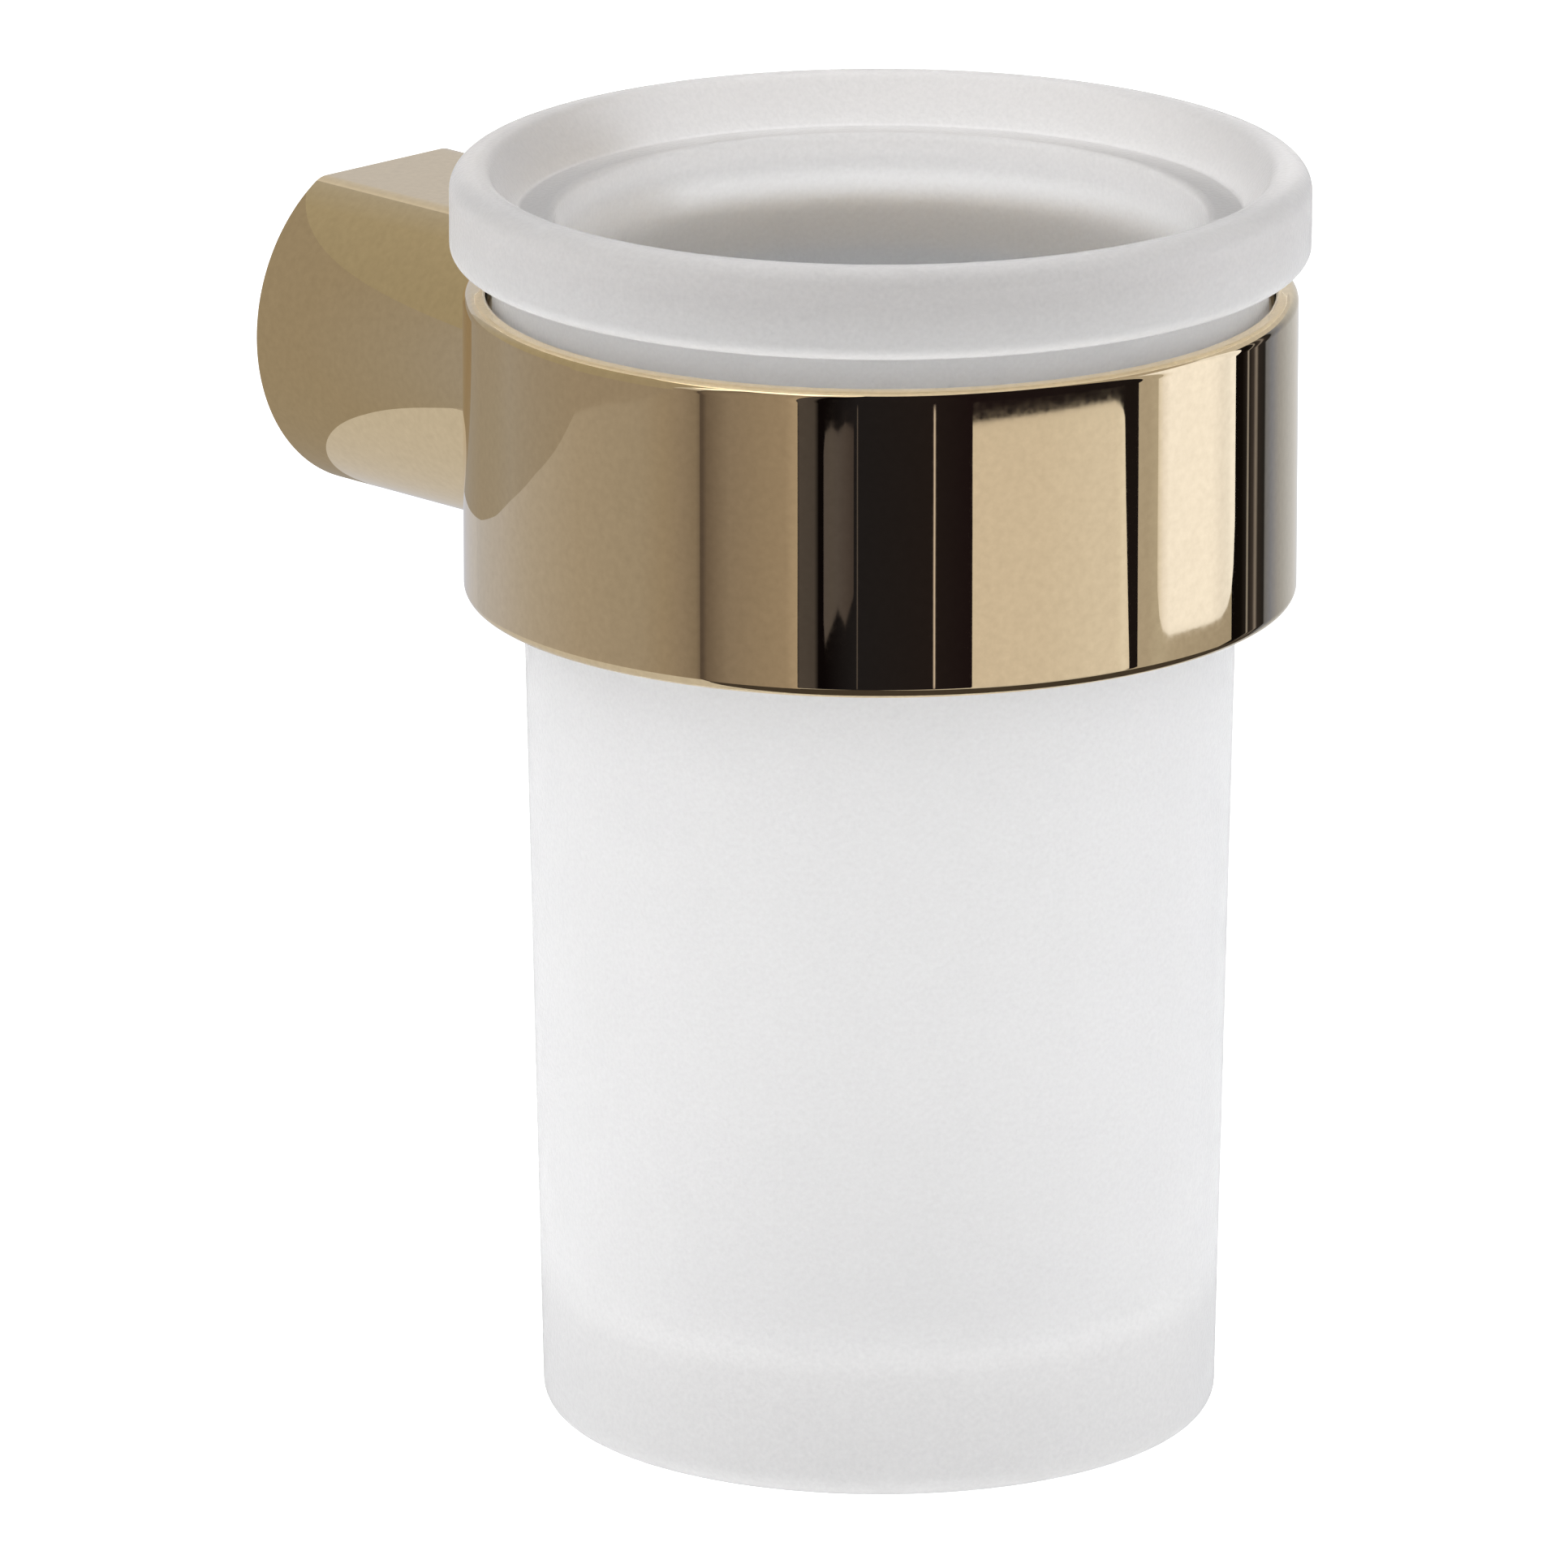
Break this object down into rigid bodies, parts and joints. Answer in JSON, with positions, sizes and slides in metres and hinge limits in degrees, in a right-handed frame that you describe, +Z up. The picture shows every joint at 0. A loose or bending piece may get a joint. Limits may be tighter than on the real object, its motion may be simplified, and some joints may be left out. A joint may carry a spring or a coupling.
{
  "type": "wall toothbrush tumbler",
  "caption": "Wall-mounted toothbrush tumbler: a frosted glass tumbler standing in a polished ring on a short round post with a hidden wall fixing.",
  "frame": {"origin": "middle of the wall bracket's back face, on the wall", "axes": "+Y into the wall, +Z up, the object stands out along -Y"},
  "size_m": [0.0742, 0.1001, 0.111],
  "materials": {
    "polished_gold": "polished champagne gold plating",
    "raw_brass": "machined",
    "zinc_steel": "zinc plated",
    "cast_bracket": "as cast and turned",
    "clear_plastic": "clear, slightly milky",
    "frosted_glass": "acid-etched, matt inside and out"
  },
  "bodies": {
    "holder": {"holder_ring": "polished_gold", "ring_boss": "raw_brass", "post_shell": "polished_gold", "joining_washer": "zinc_steel", "lock_washer": "zinc_steel", "joining_screw": "zinc_steel", "wall_bracket": "cast_bracket", "grub_screw": "zinc_steel"},
    "seat": {"seat_ring": "clear_plastic"},
    "glass": {"tumbler": "frosted_glass"}
  },
  "joints": [
    {"name": "seat_turn", "type": "hinge", "parent": "holder", "child": "seat", "pos_m": [0, -0.063, 0], "axis": [0, 0, 1], "continuous": true},
    {"name": "tumbler_lift", "type": "slide", "parent": "seat", "child": "glass", "axis": [0, 0, 1], "range_m": [0, 0.11]}
  ]
}
